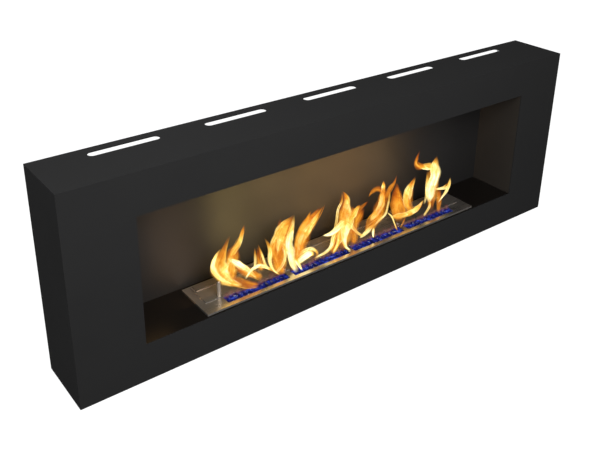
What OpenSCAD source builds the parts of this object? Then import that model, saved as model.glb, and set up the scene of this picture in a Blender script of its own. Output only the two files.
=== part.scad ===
// Wall fireplace that burns liquid bioethanol: a folded steel casing round an open firebox,
// and a lift-out burner whose ports are closed by a sliding shutter.
// Millimetres. X runs along the casing, -Y is the front, +Z is up, and the casing stands on Z = 0.

/* [Casing] */
// Outside width of the casing
case_w = 1200; // [1000:10:1500]
// Outside height of the casing
case_h = 400; // [330:5:520]
// Outside depth of the casing, from the front face to the wall
case_d = 130; // [126:1:180]
// Thickness of the casing's sheet
case_t = 2; // [1.5:0.1:2.5]
// Width of the lip folded inwards along the sides and bottom of the open back
rear_lip = 12; // [10:1:14]
// Width of the lip folded inwards along the top of the open back
top_lip = 6; // [4:0.5:8]
// Width of the front face on each side of the fire opening
side_margin = 125; // [110:5:150]
// Height of the front face over the fire opening
top_margin = 77; // [60:1:92]
// Height of the front face under the fire opening
bottom_margin = 75; // [72:1:90]

/* [Top vents] */
// Number of vent slots in the top
vent_count = 5; // [3:1:6]
// Length of one vent slot, over its round ends
vent_len = 130; // [100:5:156]
// Width of a vent slot
vent_w = 18; // [12:1:20]
// Distance from the end of the casing to the first vent slot
vent_end = 95; // [80:5:114]
// Distance from the wall to the middle of the vent slots
vent_back = 27; // [26:1:34]

/* [Firebox] */
// Thickness of the firebox's sheets
liner_t = 1.5; // [1.2:0.1:2]
// Distance from the firebox's back panel to the wall
rear_gap = 18; // [15:1:20]
// Width of the flanges that join the firebox's sheets
flange_w = 13.5; // [12:0.5:15]
// Gap between the burner tank and its cut-out in the floor
cutout_gap = 2; // [1.5:0.1:2.5]

/* [Flame ports] */
// Number of flame ports in line
port_count = 4; // [3:1:5]
// Length of one flame port
port_len = 141; // [110:1:156]
// Width of a flame port
port_w = 22; // [14:1:24]
// Corner radius of a flame port
port_r = 2; // [1:0.5:4]
// Width of the bridge between two ports
port_bridge = 12; // [10:1:20]

/* [Burner plate] */
// Thickness of the burner plate's sheet
plate_t = 2; // [1.5:0.1:3]
// Height of the burner plate over the firebox's floor, with its folded rim
plate_rim = 4; // [3.5:0.5:8]
// How far the plate reaches past the ports at each end
plate_end = 50; // [44:1:60]
// Distance from the casing's front face to the plate's front edge
plate_setback = 6; // [5:1:9]
// Distance from the plate's front edge to the ports
port_setback = 9; // [8.5:0.5:11]
// How far the plate reaches past the open shutter at the back
plate_rear = 6; // [4:0.5:10]

/* [Burner tank] */
// Height of the tank under the plate
tank_h = 60; // [48:1:62]
// Thickness of the tank's sheet
tank_t = 1.5; // [1:0.1:2]
// How far the tank reaches past the ports at each end
tank_end = 12; // [4:1:30]
// How far the plate reaches past the tank at the front
tank_front_inset = 6; // [5:0.5:6.5]
// How far the plate reaches past the tank at the back
tank_rear_inset = 12; // [8:1:14]
// Thickness of the mesh over the wool
mesh_t = 1.2; // [0.8:0.1:1.6]
// Free height between the mesh and the plate
mesh_drop = 8; // [6:0.5:12]
// Diameter of a hole in the mesh
mesh_hole_d = 8; // [5:0.5:9]
// Spacing of the mesh's holes
mesh_pitch = 12; // [11:0.5:16]
// Height of the openings under the baffles
baffle_notch = 8; // [4:1:12]

/* [Shutter] */
// Thickness of the shutter
shutter_t = 1.5; // [1:0.1:2]
// Width of the stiffening bar along the shutter's back edge
bar_w = 18; // [10:1:20]
// Thickness of the stiffening bar
bar_t = 2; // [1.5:0.5:4]
// How far the closed shutter laps past the front of the ports
shutter_lap = 3; // [2:0.5:6]
// Gap between the open shutter and the ports
shutter_gap = 1; // [0.5:0.5:3]
// How far the shutter reaches past the last port at each end
shutter_end = 35; // [24:1:40]
// Diameter of the handle post
post_d = 8; // [6:0.5:10]
// Height of the handle post over the shutter
post_h = 33; // [24:1:40]
// Distance from the shutter's end to the middle of the post
post_inset = 31; // [9:1:36]
// Width of the seat under a guide screw's shoulder, round its hole in the plate
guide_seat = 0.3; // [0.3:0.1:0.8]
// Radial clearance of a guide screw in its slot
guide_gap = 0.4; // [0.3:0.05:0.5]

/* [Wall hangers] */
// Width of a hanger plate
hanger_w = 66; // [60:1:76]
// Thickness of a hanger plate
hanger_t = 2; // [1.5:0.1:3]
// Diameter of the keyhole's round part
key_d = 12; // [10:0.5:14]
// Width of the keyhole's narrow part
key_neck = 6.5; // [5:0.5:7]
// Height of the narrow part over the middle of the round part
key_rise = 12; // [11:1:16]
// Distance from the casing's side to a keyhole
key_side = 50; // [40:1:52]
// Distance from the casing's top to a keyhole
key_drop = 60; // [50:1:90]

/* [Fasteners] */
// Thread diameter of the studs, screws and rivets
thread_d = 4; // [3:0.5:5]
// Radial clearance round a thread or rivet
thread_gap = 0.2; // [0.1:0.05:0.5]
// Running gap between the shutter and what it slides on
slide_gap = 0.2; // [0.1:0.05:0.4]

/* [Hidden] */
$fn = 48;
cut = 1; // how far a cutting body runs past the face that it cuts

// Casing and firebox
front_y = -case_d / 2;
back_y = case_d / 2;
open_w = case_w - 2 * side_margin;
floor_z = bottom_margin;
ceiling_z = case_h - top_margin;
wall_x = open_w / 2;
panel_y = back_y - rear_gap;
liner_y = front_y + case_t;
liner_d = panel_y - liner_y;
flange_mid = liner_t + (flange_w - liner_t) / 2;
vent_pitch = (case_w - 2 * vent_end - vent_len) / (vent_count - 1);

// Shutter, front to back
travel = port_w + shutter_gap + shutter_lap;
clear_d = thread_d + 2 * thread_gap;
guide_d = clear_d + 2 * guide_seat; // shoulder of a guide screw
guide_head_d = 2 * guide_d;
guide_head_h = 2;
head_gap = 1; // between a guide screw's head and the stiffening bar of the closed shutter
guide_slot_w = guide_d + 2 * guide_gap;
guide_slot_l = guide_slot_w + travel;
shutter_edge = 5; // metal left in front of the guide slots
bar_gap = (guide_head_d - guide_slot_w) / 2 + head_gap; // from the guide slots to the stiffening bar
shutter_w = shutter_edge + guide_slot_l + bar_gap + bar_w;

// Burner plate and tank
ports_l = port_count * port_len + (port_count - 1) * port_bridge;
plate_l = ports_l + 2 * plate_end;
plate_w = port_setback + port_w + shutter_gap + shutter_w + plate_rear;
plate_y = front_y + plate_setback;
plate_top_z = floor_z + plate_rim;
plate_z = plate_top_z - plate_t; // underside of the plate, where the tank meets it
port_y = plate_y + port_setback;
tank_l = ports_l + 2 * tank_end;
tank_y = plate_y + tank_front_inset;
tank_w = plate_w - tank_front_inset - tank_rear_inset;
tank_z = plate_z - tank_h;
mesh_top_z = plate_z - mesh_drop;
mesh_z = mesh_top_z - mesh_t;
fit_gap = 0.5; // clearance of the pieces that drop into the tank
baffle_count = 3;
baffle_t = tank_t;
chamber_l = (tank_l - 2 * tank_t - baffle_count * baffle_t) / (baffle_count + 1);

// Shutter
shutter_l = ports_l + 2 * shutter_end;
shutter_y = port_y + port_w + shutter_gap;
shutter_z = plate_top_z + slide_gap;
shutter_top_z = shutter_z + shutter_t;
guide_x = (port_count - 2) / 2 * (port_len + port_bridge); // on the outermost bridges
guide_y = shutter_y + shutter_edge + guide_slot_w / 2;
bar_inset = 4; // from the shutter's ends to the bar's
post_edge = 0.5; // metal left in front of the post
post_x = -shutter_l / 2 + post_inset;
post_y = shutter_y + post_d / 2 + post_edge;
post_spigot_d = post_d / 2;
spigot_gap = 0.05; // radial clearance of the spigot before it is riveted over

// Fasteners
nut_h = 0.8 * thread_d;
nut_across = 1.75 * thread_d;
head_d = 2 * thread_d;
head_h = 0.6 * thread_d;
thread_end = 1; // how far a thread stands out of its nut
stud_l = liner_t + nut_h + thread_end;
row_count = 5; // fasteners along the firebox's long flanges
row_end = 60; // from the firebox's wall to the first of them
column_count = 2; // fasteners up the firebox's short flanges
column_end = 45; // from the floor or ceiling to the first of them
rivet_rows = 3; // rivets along each joint between a wall and the floor or ceiling
rivet_end = 20; // from the front or back edge to the first of them
lip_mid = rear_lip / 2;
hanger_fold = 10; // depth of the fold along a hanger's inner edge
hanger_rivet_rows = 3;
hanger_rivet_end = 40; // from the casing's top or bottom to the first rivet

// Spill tray
tray_t = 1;
tray_h = 10;
tray_reach = 12; // how far the tray reaches past the tank at each end
tray_side = 5; // how far it reaches past the tank at the front and back

// count positions spread evenly from low to high
function spread(count, low, high) = [for (i = [0:count - 1]) low + (high - low) * i / (count - 1)];
// the same, from -half to half
function centred(count, half) = spread(count, -half, half);

row_xs = centred(row_count, wall_x - row_end);
column_zs = spread(column_count, floor_z + column_end, ceiling_z - column_end);
rivet_ys = spread(rivet_rows, liner_y + rivet_end, panel_y - rivet_end);
hanger_rivet_zs = spread(hanger_rivet_rows, hanger_rivet_end, case_h - hanger_rivet_end);
floor_flange_z = floor_z - flange_mid;
ceiling_flange_z = ceiling_z + flange_mid;
wall_flange_x = wall_x + flange_mid;

// [x, z] of every fastener that holds the firebox's flanges, at the front and at the back
flange_points = concat(
    [for (x = row_xs) [x, floor_flange_z]],
    [for (x = row_xs) [x, ceiling_flange_z]],
    [for (s = [-1, 1], z = column_zs) [s * wall_flange_x, z]]
);

casing_black = [0.10, 0.10, 0.10];
steel_grey = [0.62, 0.61, 0.58];
zinc_grey = [0.70, 0.70, 0.68];
wool_white = [0.88, 0.86, 0.80];

module box(size, at) {
    translate(at) cube(size);
}

// A cylinder along Y that starts at the point at and runs towards +Y
module y_rod(at, d, l, sides = $fn) {
    translate(at) rotate([-90, 0, 0]) cylinder(d = d, h = l, $fn = sides);
}

// A cylinder along X that starts at the point at and runs towards +X
module x_rod(at, d, l) {
    translate(at) rotate([0, 90, 0]) cylinder(d = d, h = l);
}

// A slot along X with round ends, centred on the origin
module slot_2d(l, w) {
    square([l - w, w], center = true);
    for (s = [-1, 1]) translate([s * (l - w) / 2, 0]) circle(d = w);
}

// A rectangle with round corners, centred on the origin
module round_rect_2d(l, w, r) {
    square([l - 2 * r, w], center = true);
    square([l, w - 2 * r], center = true);
    for (sx = [-1, 1], sy = [-1, 1]) translate([sx * (l / 2 - r), sy * (w / 2 - r)]) circle(r);
}

// A low round head whose flat side lies on the origin and which rises along +Z
module low_head(d, h) {
    rotate_extrude() polygon([[0, 0], [d / 2, 0], [d / 2, h * 0.45], [d * 0.36, h], [0, h]]);
}

// ---- Casing ----

module outer_casing() {
    color(casing_black)
    difference() {
        box([case_w, case_d, case_h], [-case_w / 2, front_y, 0]);
        box([case_w - 2 * case_t, case_d - 2 * case_t, case_h - 2 * case_t],
            [-case_w / 2 + case_t, front_y + case_t, case_t]);
        box([case_w - 2 * rear_lip, case_t + 2 * cut, case_h - rear_lip - top_lip],
            [-case_w / 2 + rear_lip, back_y - case_t - cut, rear_lip]);
        box([open_w, case_t + 2 * cut, ceiling_z - floor_z], [-wall_x, front_y - cut, floor_z]);
        for (x = centred(vent_count, vent_pitch * (vent_count - 1) / 2))
            translate([x, back_y - vent_back, case_h - case_t - cut])
                linear_extrude(case_t + 2 * cut) slot_2d(vent_len, vent_w);
        for (s = [-1, 1], z = hanger_rivet_zs)
            y_rod([s * (case_w / 2 - lip_mid), back_y - case_t - cut, z], clear_d, case_t + 2 * cut);
    }
}

module weld_studs() {
    color(zinc_grey)
    for (p = flange_points) y_rod([p[0], liner_y, p[1]], thread_d, stud_l);
}

module stud_nuts() {
    color(zinc_grey)
    for (p = flange_points)
        difference() {
            y_rod([p[0], liner_y + liner_t, p[1]], nut_across / cos(30), nut_h, 6);
            y_rod([p[0], liner_y + liner_t - cut, p[1]], thread_d + thread_gap, nut_h + 2 * cut);
        }
}

// ---- Firebox ----

// Clearance holes along Y through a front or back flange
module flange_holes(y) {
    for (p = flange_points) y_rod([p[0], y - cut, p[1]], clear_d, liner_t + 2 * cut);
}

// Floor or ceiling drawn with its face towards the fire on Z = 0 and its four flanges hanging down
module channel_sheet() {
    difference() {
        box([open_w, liner_d, flange_w], [-wall_x, liner_y, -flange_w]);
        box([open_w - 2 * liner_t, liner_d - 2 * liner_t, flange_w],
            [-wall_x + liner_t, liner_y + liner_t, -flange_w - liner_t]);
        for (y = rivet_ys)
            x_rod([-wall_x - cut, y, -flange_mid], clear_d, open_w + 2 * cut);
        for (x = row_xs) {
            y_rod([x, liner_y - cut, -flange_mid], clear_d, liner_t + 2 * cut);
            y_rod([x, panel_y - liner_t - cut, -flange_mid], clear_d, liner_t + 2 * cut);
        }
    }
}

module firebox_floor() {
    color(casing_black)
    difference() {
        translate([0, 0, floor_z]) channel_sheet();
        box([tank_l + 2 * cutout_gap, tank_w + 2 * cutout_gap, flange_w],
            [-tank_l / 2 - cutout_gap, tank_y - cutout_gap, floor_z - flange_w + cut]);
    }
}

module firebox_ceiling() {
    color(casing_black)
    translate([0, 0, ceiling_z]) mirror([0, 0, 1]) channel_sheet();
}

// Side wall on the +X side: a channel whose front and back flanges turn away from the fire
module side_wall() {
    z0 = floor_z - flange_w;
    z1 = ceiling_z + flange_w;
    difference() {
        box([flange_w, liner_d, z1 - z0], [wall_x, liner_y, z0]);
        box([flange_w, liner_d - 2 * liner_t, z1 - z0 + 2 * cut],
            [wall_x + liner_t, liner_y + liner_t, z0 - cut]);
        flange_holes(liner_y);
        flange_holes(panel_y - liner_t);
        for (y = rivet_ys, z = [floor_flange_z, ceiling_flange_z])
            x_rod([wall_x - cut, y, z], clear_d, liner_t + 2 * cut);
    }
}

module firebox_right_wall() {
    color(casing_black) side_wall();
}

module firebox_left_wall() {
    color(casing_black) mirror([1, 0, 0]) side_wall();
}

module firebox_back_panel() {
    color([0.16, 0.16, 0.16])
    difference() {
        box([open_w + 2 * flange_w, liner_t, ceiling_z - floor_z + 2 * flange_w],
            [-wall_x - flange_w, panel_y, floor_z - flange_w]);
        flange_holes(panel_y);
    }
}

module liner_rivets() {
    color(zinc_grey)
    for (s = [-1, 1], y = rivet_ys, z = [floor_flange_z, ceiling_flange_z])
        translate([s * wall_x, y, z]) rotate([0, s * 90, 0]) {
            translate([0, 0, -liner_t]) cylinder(d = thread_d, h = 2 * liner_t);
            translate([0, 0, liner_t]) low_head(head_d, head_h / 2);
            translate([0, 0, -liner_t]) mirror([0, 0, 1]) low_head(1.5 * thread_d, head_h / 2);
        }
}

module back_panel_screws() {
    color(zinc_grey)
    for (p = flange_points) {
        y_rod([p[0], panel_y - liner_t - thread_d, p[1]], thread_d, 2 * liner_t + thread_d);
        translate([p[0], panel_y + liner_t, p[1]]) rotate([-90, 0, 0]) low_head(head_d, head_h);
    }
}

// ---- Wall hangers ----

// Hanger on the +X side: a plate inside the rear lips with its inner edge turned forwards
module hanger() {
    x0 = case_w / 2 - case_t - hanger_w;
    y0 = back_y - case_t - hanger_t;
    z0 = case_t;
    h = case_h - 2 * case_t;
    key_x = case_w / 2 - key_side;
    key_z = case_h - key_drop;
    difference() {
        union() {
            box([hanger_w, hanger_t, h], [x0, y0, z0]);
            box([hanger_t, hanger_fold, h], [x0, y0 - hanger_fold, z0]);
        }
        y_rod([key_x, y0 - cut, key_z], key_d, hanger_t + 2 * cut);
        y_rod([key_x, y0 - cut, key_z + key_rise], key_neck, hanger_t + 2 * cut);
        box([key_neck, hanger_t + 2 * cut, key_rise], [key_x - key_neck / 2, y0 - cut, key_z]);
        for (z = hanger_rivet_zs)
            y_rod([case_w / 2 - lip_mid, y0 - cut, z], clear_d, hanger_t + 2 * cut);
    }
}

module hanger_right() {
    color(zinc_grey) hanger();
}

module hanger_left() {
    color(zinc_grey) mirror([1, 0, 0]) hanger();
}

module hanger_rivets() {
    y0 = back_y - case_t - hanger_t;
    color(zinc_grey)
    for (s = [-1, 1], z = hanger_rivet_zs)
        translate([s * (case_w / 2 - lip_mid), y0, z]) rotate([-90, 0, 0]) {
            cylinder(d = thread_d, h = hanger_t + case_t);
            mirror([0, 0, 1]) low_head(1.5 * thread_d, head_h / 2);
        }
}

// ---- Burner ----

module spill_tray() {
    l = tank_l + 2 * tray_reach;
    w = tank_w + 2 * tray_side;
    at = [-l / 2, tank_y - tray_side, case_t];
    color(steel_grey)
    difference() {
        box([l, w, tray_h], at);
        box([l - 2 * tray_t, w - 2 * tray_t, tray_h], at + [tray_t, tray_t, tray_t]);
    }
}

module burner_plate() {
    rim_h = plate_rim - plate_t;
    color(steel_grey)
    translate([0, 0, plate_z])
    difference() {
        box([plate_l, plate_w, plate_rim], [-plate_l / 2, plate_y, -rim_h]);
        box([plate_l - 2 * plate_t, plate_w - 2 * plate_t, rim_h + cut],
            [-plate_l / 2 + plate_t, plate_y + plate_t, -rim_h - cut]);
        for (x = centred(port_count, (ports_l - port_len) / 2))
            translate([x, port_y + port_w / 2, -cut])
                linear_extrude(plate_t + 2 * cut) round_rect_2d(port_len, port_w, port_r);
        for (s = [-1, 1])
            translate([s * guide_x, guide_y, -cut]) cylinder(d = clear_d, h = plate_t + 2 * cut);
    }
}

module burner_tank() {
    color(steel_grey)
    difference() {
        box([tank_l, tank_w, tank_h], [-tank_l / 2, tank_y, tank_z]);
        box([tank_l - 2 * tank_t, tank_w - 2 * tank_t, tank_h],
            [-tank_l / 2 + tank_t, tank_y + tank_t, tank_z + tank_t]);
    }
}

// Baffle number i across the tank, with openings at its foot that let the fuel level out
module baffle(i) {
    h = mesh_z - tank_z - tank_t;
    w = tank_w - 2 * tank_t - 2 * fit_gap;
    x = (i - (baffle_count - 1) / 2) * (chamber_l + baffle_t) - baffle_t / 2;
    y = tank_y + tank_t + fit_gap;
    color(steel_grey)
    difference() {
        box([baffle_t, w, h], [x, y, tank_z + tank_t]);
        for (s = [1, 3])
            box([baffle_t + 2 * cut, w / 5, baffle_notch + cut],
                [x - cut, y + s * w / 5, tank_z + tank_t - cut]);
    }
}

// Pad of absorbent wool in chamber number i
module wool_pad(i) {
    l = chamber_l - 2 * fit_gap;
    w = tank_w - 2 * tank_t - 2 * fit_gap;
    x = -tank_l / 2 + tank_t + i * (chamber_l + baffle_t) + fit_gap;
    color(wool_white)
    box([l, w, mesh_z - tank_z - tank_t], [x, tank_y + tank_t + fit_gap, tank_z + tank_t]);
}

module wool_mesh() {
    l = tank_l - 2 * tank_t - 2 * fit_gap;
    w = tank_w - 2 * tank_t - 2 * fit_gap;
    columns = floor((l - mesh_pitch) / mesh_pitch);
    rows = floor((w - mesh_pitch / 2) / mesh_pitch);
    xs = centred(columns, mesh_pitch * (columns - 1) / 2);
    ys = centred(rows, mesh_pitch * (rows - 1) / 2);
    color(steel_grey)
    translate([0, tank_y + tank_w / 2, mesh_z])
    linear_extrude(mesh_t)
    difference() {
        square([l, w], center = true);
        for (x = xs, y = ys) translate([x, y]) circle(d = mesh_hole_d, $fn = 24);
    }
}

// Shoulder screw number s, -1 at the left and 1 at the right, fixed in the plate
module guide_screw(s) {
    shoulder_h = 2 * slide_gap + shutter_t;
    color(zinc_grey)
    translate([s * guide_x, guide_y, 0]) {
        translate([0, 0, plate_z - nut_h - thread_end])
            cylinder(d = thread_d, h = plate_t + nut_h + thread_end);
        translate([0, 0, plate_top_z]) cylinder(d = guide_d, h = shoulder_h);
        translate([0, 0, plate_top_z + shoulder_h]) low_head(guide_head_d, guide_head_h);
    }
}

module guide_nuts() {
    color(zinc_grey)
    for (s = [-1, 1])
        translate([s * guide_x, guide_y, plate_z - nut_h])
            difference() {
                cylinder(d = nut_across / cos(30), h = nut_h, $fn = 6);
                translate([0, 0, -cut]) cylinder(d = thread_d + thread_gap, h = nut_h + 2 * cut);
            }
}

// ---- Shutter ----

module shutter() {
    color(steel_grey)
    translate([0, 0, shutter_z])
    difference() {
        box([shutter_l, shutter_w, shutter_t], [-shutter_l / 2, shutter_y, 0]);
        for (s = [-1, 1])
            translate([s * guide_x, shutter_y + shutter_edge + guide_slot_l / 2, -cut])
                rotate([0, 0, 90]) linear_extrude(shutter_t + 2 * cut) slot_2d(guide_slot_l, guide_slot_w);
        translate([post_x, post_y, -cut])
            cylinder(d = post_spigot_d + 2 * spigot_gap, h = shutter_t + 2 * cut);
    }
}

// Flat bar spot-welded along the shutter's back edge, which keeps the long sheet flat in the heat
module shutter_bar() {
    color(zinc_grey)
    box([shutter_l - 2 * bar_inset, bar_w, bar_t],
        [-shutter_l / 2 + bar_inset, shutter_y + shutter_w - bar_w, shutter_top_z]);
}

module shutter_handle() {
    edge = post_d / 8; // chamfer round the top
    color(steel_grey)
    translate([post_x, post_y, shutter_top_z])
    rotate_extrude()
    polygon([
        [0, -shutter_t], [post_spigot_d / 2, -shutter_t], [post_spigot_d / 2, 0], [post_d / 2, 0],
        [post_d / 2, post_h - edge], [post_d / 2 - edge, post_h], [0, post_h]
    ]);
}

outer_casing();
weld_studs();
stud_nuts();
firebox_floor();
firebox_ceiling();
firebox_left_wall();
firebox_right_wall();
firebox_back_panel();
liner_rivets();
back_panel_screws();
hanger_left();
hanger_right();
hanger_rivets();
spill_tray();
burner_plate();
burner_tank();
baffle(0);  // tank_baffle_left
baffle(1);  // tank_baffle_middle
baffle(2);  // tank_baffle_right
wool_pad(0);  // wool_pad_1
wool_pad(1);  // wool_pad_2
wool_pad(2);  // wool_pad_3
wool_pad(3);  // wool_pad_4
wool_mesh();
guide_screw(-1);  // guide_screw_left
guide_screw(1);  // guide_screw_right
guide_nuts();
shutter();
shutter_bar();
shutter_handle();
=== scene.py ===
"""Looks of the wall fireplace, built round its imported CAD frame. Metres, +Z up, the front faces -Y."""
import math

import bmesh
import bpy
from mathutils import Matrix, Vector, noise


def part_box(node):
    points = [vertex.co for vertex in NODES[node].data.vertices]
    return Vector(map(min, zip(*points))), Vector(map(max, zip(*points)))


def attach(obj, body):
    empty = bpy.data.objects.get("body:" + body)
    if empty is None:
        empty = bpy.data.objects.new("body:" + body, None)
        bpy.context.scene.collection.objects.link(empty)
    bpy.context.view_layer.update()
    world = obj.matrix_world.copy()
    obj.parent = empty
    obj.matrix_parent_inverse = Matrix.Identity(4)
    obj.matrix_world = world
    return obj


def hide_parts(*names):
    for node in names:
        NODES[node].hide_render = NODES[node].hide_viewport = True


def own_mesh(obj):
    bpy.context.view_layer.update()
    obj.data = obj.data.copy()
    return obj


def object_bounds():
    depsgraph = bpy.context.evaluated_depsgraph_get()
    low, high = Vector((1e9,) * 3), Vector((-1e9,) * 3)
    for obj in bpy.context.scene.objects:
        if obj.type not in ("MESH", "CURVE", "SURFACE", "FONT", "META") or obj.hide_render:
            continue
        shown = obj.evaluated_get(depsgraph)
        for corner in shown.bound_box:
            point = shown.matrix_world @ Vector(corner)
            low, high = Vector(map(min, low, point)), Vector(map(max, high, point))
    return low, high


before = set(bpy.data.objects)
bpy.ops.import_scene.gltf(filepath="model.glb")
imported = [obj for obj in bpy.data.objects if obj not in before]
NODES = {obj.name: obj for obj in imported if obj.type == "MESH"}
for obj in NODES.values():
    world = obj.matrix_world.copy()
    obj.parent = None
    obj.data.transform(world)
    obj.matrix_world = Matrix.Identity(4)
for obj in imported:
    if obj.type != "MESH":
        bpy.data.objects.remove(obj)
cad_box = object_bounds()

MM = 0.001
SCENE = bpy.context.scene


# ---------------------------------------------------------------- places read from the frame
def corners(node):
    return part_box(node)


PLATE_LOW, PLATE_HIGH = corners("burner_plate")
TANK_LOW, TANK_HIGH = corners("burner_tank")
PLATE_TOP = PLATE_HIGH.z
SHEET = 2 * MM                     # thickness of the burner plate
PORT_SETBACK = 9 * MM              # from the plate's front edge to the ports
PORT_DEPTH = 22 * MM
PORT_LENGTH = 141 * MM
PORT_BRIDGE = 12 * MM
PORT_COUNT = 4
PORT_FRONT = PLATE_LOW.y + PORT_SETBACK
PORT_BACK = PORT_FRONT + PORT_DEPTH
PORT_MIDDLE = (PORT_FRONT + PORT_BACK) / 2


def port_starts():
    """The left end of each port along X."""
    row = PORT_COUNT * PORT_LENGTH + (PORT_COUNT - 1) * PORT_BRIDGE
    return [-row / 2 + i * (PORT_LENGTH + PORT_BRIDGE) for i in range(PORT_COUNT)]


# ---------------------------------------------------------------- node materials
class Shader:
    """A node material under construction. Each method adds a node and returns an output socket."""

    def __init__(self, name):
        self.material = bpy.data.materials.new(name)
        self.material.use_nodes = True
        self.tree = self.material.node_tree
        self.tree.nodes.clear()
        where = self.add("ShaderNodeTexCoord")
        self.place, self.normal = where.outputs["Object"], where.outputs["Normal"]

    def add(self, kind, **settings):
        node = self.tree.nodes.new(kind)
        for key, value in settings.items():
            setattr(node, key, value)
        return node

    def plug(self, source, socket):
        if isinstance(source, bpy.types.NodeSocket):
            self.tree.links.new(source, socket)
        else:
            socket.default_value = source

    def stretched(self, scale, source=None):
        node = self.add("ShaderNodeMapping")
        self.plug(source or self.place, node.inputs["Vector"])
        node.inputs["Scale"].default_value = scale
        return node.outputs["Vector"]

    def noise(self, scale, detail=3.0, rough=0.5, place=None, warp=0.0):
        node = self.add("ShaderNodeTexNoise")
        self.plug(place or self.place, node.inputs["Vector"])
        node.inputs["Scale"].default_value = scale
        node.inputs["Detail"].default_value = detail
        node.inputs["Roughness"].default_value = rough
        node.inputs["Distortion"].default_value = warp
        return node.outputs["Fac"]

    def cells(self, scale):
        node = self.add("ShaderNodeTexVoronoi", feature="F1")
        self.plug(self.place, node.inputs["Vector"])
        node.inputs["Scale"].default_value = scale
        return node.outputs

    def ramp(self, factor, stops):
        node = self.add("ShaderNodeValToRGB")
        self.plug(factor, node.inputs["Fac"])
        band = node.color_ramp
        while len(band.elements) < len(stops):
            band.elements.new(0.5)
        for element, (spot, colour) in zip(band.elements, stops):
            element.position = spot
            element.color = (*colour, 1)
        return node.outputs["Color"]

    def math(self, operation, a, b=0.0, clamp=False):
        node = self.add("ShaderNodeMath", operation=operation, use_clamp=clamp)
        self.plug(a, node.inputs[0])
        self.plug(b, node.inputs[1])
        return node.outputs[0]

    def spread(self, factor, low, high):
        """Stretches the middle of a noise, which seldom leaves 0.3 to 0.7, to low and high."""
        node = self.add("ShaderNodeMapRange")
        self.plug(factor, node.inputs["Value"])
        node.inputs["From Min"].default_value = 0.3
        node.inputs["From Max"].default_value = 0.7
        node.inputs["To Min"].default_value = low
        node.inputs["To Max"].default_value = high
        return node.outputs["Result"]

    def mix(self, factor, a, b, blend="MIX"):
        node = self.add("ShaderNodeMix", data_type="RGBA", blend_type=blend)
        self.plug(factor, node.inputs["Factor"])
        self.plug(a if isinstance(a, bpy.types.NodeSocket) else (*a, 1), node.inputs["A"])
        self.plug(b if isinstance(b, bpy.types.NodeSocket) else (*b, 1), node.inputs["B"])
        return node.outputs["Result"]

    def bump(self, height, depth, strength=1.0, under=None):
        node = self.add("ShaderNodeBump")
        self.plug(height, node.inputs["Height"])
        node.inputs["Distance"].default_value = depth
        node.inputs["Strength"].default_value = strength
        if under is not None:
            self.plug(under, node.inputs["Normal"])
        return node.outputs["Normal"]

    def surface(self, **sockets):
        """Finishes with a Principled surface. A name's underscores stand for spaces."""
        node = self.add("ShaderNodeBsdfPrincipled")
        for key, value in sockets.items():
            self.plug(value, node.inputs[key.replace("_", " ")])
        self.finish(node.outputs["BSDF"])
        return self.material

    def finish(self, shader):
        out = self.add("ShaderNodeOutputMaterial")
        self.tree.links.new(shader, out.inputs["Surface"])


def powder_coat(name, dark, light, rough, gloss, grain):
    """Matt powder coat: a fine orange-peel skin and a slow change of tone."""
    s = Shader(name)
    slow = s.noise(7, 4, 0.6)
    fine = s.noise(1500, 2, 0.6)
    speck = s.noise(420, 3, 0.5)
    colour = s.mix(slow, dark, light)
    colour = s.mix(s.spread(speck, 0, 0.25), colour, light)
    skin = s.bump(fine, grain)
    skin = s.bump(speck, grain, 0.6, skin)
    return s.surface(Base_Color=colour, Roughness=s.spread(slow, rough - 0.04, rough + 0.05),
                     Specular_IOR_Level=gloss, Normal=skin)


def satin_lacquer(name):
    """The back panel's smoother heat-proof black, which mirrors the fire softly."""
    s = Shader(name)
    slow = s.noise(5, 3, 0.5)
    haze = s.noise(26, 4, 0.6)
    fine = s.noise(900, 2, 0.5)
    colour = s.mix(slow, (0.0040, 0.0040, 0.0042), (0.0055, 0.0052, 0.0050))
    return s.surface(Base_Color=colour, Roughness=s.spread(haze, 0.42, 0.50), Metallic=0.0,
                     Specular_IOR_Level=0.06, Normal=s.bump(fine, 0.00002, 0.6))


BRUSH_SCALE = (6, 1300, 1300)      # long along X, fine across it
BRUSH_DEPTH = 0.000002


def brushed_steel(name, dark, light, rough, upright_shade=0.0):
    """Stainless sheet with fine brushing, faint smears and a straw tint from heat.

    The last argument is the share by which upright faces, cut edges and upright sides alike, are painted near
    black and lose their metal shine: a painted shade set by each face's normal.
    """
    s = Shader(name)
    upright = s.add("ShaderNodeSeparateXYZ")
    s.plug(s.normal, upright.inputs["Vector"])
    # How upright each face stands, scaled by the share of painted shade.
    edge = s.math("SUBTRACT", 1.0, s.math("ABSOLUTE", upright.outputs["Z"]), clamp=True)
    edge = s.math("MULTIPLY", edge, upright_shade)
    streak = s.noise(1, 4, 0.65, s.stretched(BRUSH_SCALE))
    smear = s.noise(18, 4, 0.6)
    tint = s.noise(9, 2, 0.5)
    colour = s.mix(streak, dark, light)
    colour = s.mix(s.spread(tint, 0.0, 0.35), colour, (0.42, 0.31, 0.19))
    # Painted shade: faces are mixed towards near black by how upright they stand, and lose metal in the same
    # share.
    colour = s.mix(edge, colour, (0.011, 0.010, 0.009))
    level = s.math("ADD", s.spread(streak, rough - 0.05, rough + 0.05), s.spread(smear, -0.03, 0.05))
    level = s.math("ADD", level, s.math("MULTIPLY", edge, 0.25))
    return s.surface(Base_Color=colour, Metallic=s.math("SUBTRACT", 1.0, edge, clamp=True), Roughness=level,
                     Specular_IOR_Level=0.3, Normal=s.bump(streak, BRUSH_DEPTH))


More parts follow.
